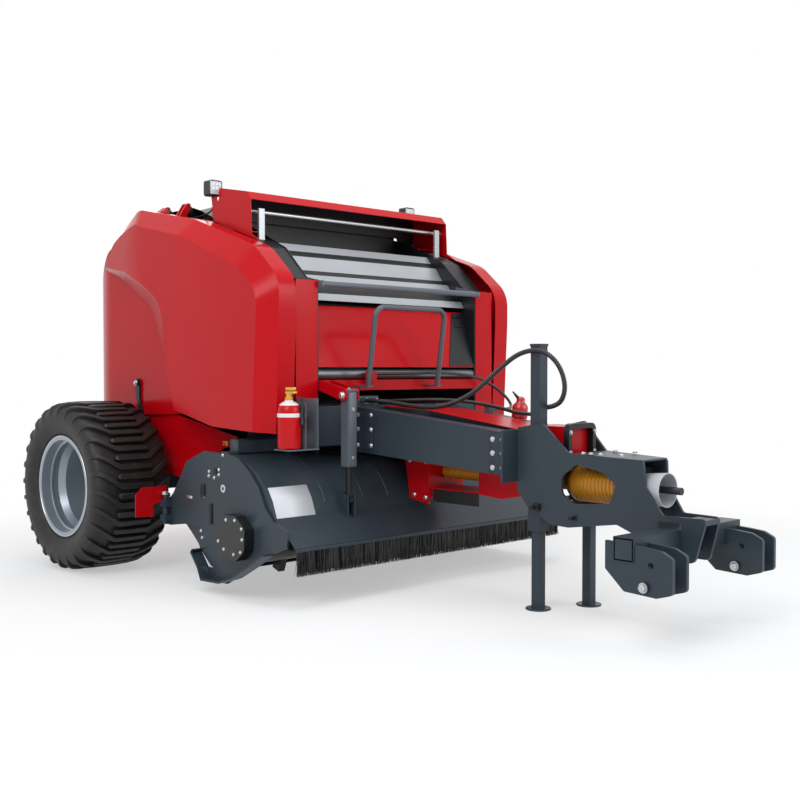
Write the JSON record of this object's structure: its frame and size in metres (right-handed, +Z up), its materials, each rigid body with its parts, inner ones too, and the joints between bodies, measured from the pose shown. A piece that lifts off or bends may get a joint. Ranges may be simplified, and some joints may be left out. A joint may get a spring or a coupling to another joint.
{
  "type": "round baler",
  "caption": "Towed round baler with a forestry pick-up head, gull-wing side doors, rear tailgate, wide flotation tyres, parking legs and a lower-link drawbar.",
  "frame": {"origin": "ground level under the centre of the machine's outer box", "axes": "+Z up, +X to the machine's left, -Y forwards to the tractor's hitch, +Y to the tailgate"},
  "size_m": [2.8, 4.373, 2.317],
  "materials": {
    "red_panel": "gloss",
    "red_frame": "gloss",
    "dark_frame": "satin",
    "grey_tube": "satin",
    "silver_sheet": "satin",
    "rim_paint": "satin",
    "tyre_rubber": "matte",
    "black_rubber": "matte",
    "black_sheet": "satin",
    "black_plastic": "matte",
    "steel": "bright",
    "yellow_guard": "satin",
    "red_plastic": "gloss",
    "lamp_lens": "gloss",
    "white_lens": "gloss"
  },
  "bodies": {
    "chassis": {"axle_frame": "dark_frame", "chamber_walls": "dark_frame", "lower_walls": "red_panel", "front_panels": "red_panel", "net_hood": "red_panel", "net_tray": "silver_sheet", "net_rollers": "grey_tube", "chamber_rollers": "dark_frame", "front_crossbar": "red_frame", "drawbar_beams": "dark_frame", "driveline_cover": "red_panel", "gearbox": "red_frame", "input_guard": "silver_sheet", "nose_frame": "dark_frame", "cross_tube": "dark_frame", "handrail": "grey_tube", "fire_extinguisher": "red_plastic", "extinguisher_bracket": "grey_tube", "oil_can": "red_plastic", "work_lamps": "white_lens", "net_back": "black_sheet", "gearbox_flap": "black_rubber", "nose_box": "red_panel", "nose_box_frame": "black_plastic", "hose_bulkhead": "dark_frame", "hose_manifold": "grey_tube", "main_hose": "black_rubber", "second_hose": "black_rubber", "cross_hose": "black_rubber", "lamp_cable": "black_rubber"},
    "wheel_right": {"tyre_right": "tyre_rubber", "rim_right": "rim_paint"},
    "wheel_left": {"tyre_left": "tyre_rubber", "rim_left": "rim_paint"},
    "door_right": {"side_door_right": "red_panel"},
    "door_left": {"side_door_left": "red_panel"},
    "tailgate": {"tailgate_shell": "red_panel", "tailgate_walls": "dark_frame", "tailgate_rollers": "dark_frame", "tail_lamps": "lamp_lens", "latch_arms": "black_plastic"},
    "ram_barrel_right_body": {"ram_barrel_right": "black_plastic"},
    "ram_rod_right_body": {"ram_rod_right": "steel"},
    "ram_barrel_left_body": {"ram_barrel_left": "black_plastic"},
    "ram_rod_left_body": {"ram_rod_left": "steel"},
    "head": {"head_frame": "grey_tube", "head_hood": "dark_frame", "brush_curtain": "black_rubber", "gear_cover": "black_plastic", "bumpers": "red_frame"},
    "rotor": {"head_rotor": "dark_frame"},
    "strut_channel_body": {"strut_channel": "grey_tube"},
    "strut_rod_body": {"strut_rod": "black_plastic"},
    "driveline_body": {"driveline": "yellow_guard", "input_shaft": "steel"},
    "leg_right_body": {"leg_right": "dark_frame"},
    "leg_left_body": {"leg_left": "dark_frame"}
  },
  "joints": [
    {"name": "wheel_right_turn", "type": "hinge", "parent": "chassis", "child": "wheel_right", "pos_m": [-1.15, 1.4585, 0.511], "axis": [1, 0, 0], "continuous": true},
    {"name": "wheel_left_turn", "type": "hinge", "parent": "chassis", "child": "wheel_left", "pos_m": [1.15, 1.4585, 0.511], "axis": [1, 0, 0], "continuous": true},
    {"name": "tailgate_hinge", "type": "hinge", "parent": "chassis", "child": "tailgate", "pos_m": [0, 1.3085, 2.02], "axis": [1, 0, 0], "range_deg": [0, 58]},
    {"name": "door_right_lift", "type": "hinge", "parent": "chassis", "child": "door_right", "pos_m": [-0.79, 1.0585, 2.2], "axis": [0, 1, 0], "range_deg": [0, 60]},
    {"name": "door_left_lift", "type": "hinge", "parent": "chassis", "child": "door_left", "pos_m": [0.79, 1.0585, 2.2], "axis": [0, -1, 0], "range_deg": [0, 60]},
    {"name": "head_lift", "type": "hinge", "parent": "chassis", "child": "head", "pos_m": [0, 0.5985, 0.6], "axis": [-1, 0, 0], "range_deg": [-3, 3]},
    {"name": "rotor_turn", "type": "hinge", "parent": "head", "child": "rotor", "pos_m": [0, 0.0535, 0.325], "axis": [1, 0, 0], "continuous": true},
    {"name": "driveline_turn", "type": "hinge", "parent": "chassis", "child": "driveline_body", "pos_m": [0, -1.3415, 0.645], "axis": [0, -1, 0], "continuous": true},
    {"name": "strut_swing", "type": "hinge", "parent": "chassis", "child": "strut_channel_body", "pos_m": [-0.58, -0.2635, 1.075], "axis": [1, 0, 0], "range_deg": [-2, 2]},
    {"name": "strut_slide", "type": "slide", "parent": "strut_channel_body", "child": "strut_rod_body", "axis": [0, 0, 1], "range_m": [-0.05, 0.05]},
    {"name": "leg_right_slide", "type": "slide", "parent": "chassis", "child": "leg_right_body", "axis": [0, 0, 1], "range_m": [0, 0.35]},
    {"name": "leg_left_slide", "type": "slide", "parent": "chassis", "child": "leg_left_body", "axis": [0, 0, 1], "range_m": [0, 0.2]},
    {"name": "ram_right_swing", "type": "hinge", "parent": "chassis", "child": "ram_barrel_right_body", "pos_m": [-0.755, 1.1585, 0.9], "axis": [1, 0, 0], "range_deg": [-1, 5]},
    {"name": "ram_right_slide", "type": "slide", "parent": "ram_barrel_right_body", "child": "ram_rod_right_body", "axis": [0, 0.424, 0.9056], "range_m": [0, 0.36]},
    {"name": "ram_left_swing", "type": "hinge", "parent": "chassis", "child": "ram_barrel_left_body", "pos_m": [0.755, 1.1585, 0.9], "axis": [1, 0, 0], "range_deg": [-1, 5]},
    {"name": "ram_left_slide", "type": "slide", "parent": "ram_barrel_left_body", "child": "ram_rod_left_body", "axis": [0, 0.424, 0.9056], "range_m": [0, 0.36]}
  ],
  "couplings": [
    {"joint": "strut_swing", "follows": "head_lift", "ratio": -0.152},
    {"joint": "strut_slide", "follows": "head_lift", "m_per_rad": 0.862},
    {"joint": "ram_right_swing", "follows": "tailgate_hinge", "ratio": 0.0419},
    {"joint": "ram_right_slide", "follows": "tailgate_hinge", "m_per_rad": 0.3422},
    {"joint": "ram_left_swing", "follows": "tailgate_hinge", "ratio": 0.0419},
    {"joint": "ram_left_slide", "follows": "tailgate_hinge", "m_per_rad": 0.3422},
    {"joint": "driveline_turn", "follows": "rotor_turn", "ratio": 0.5}
  ]
}
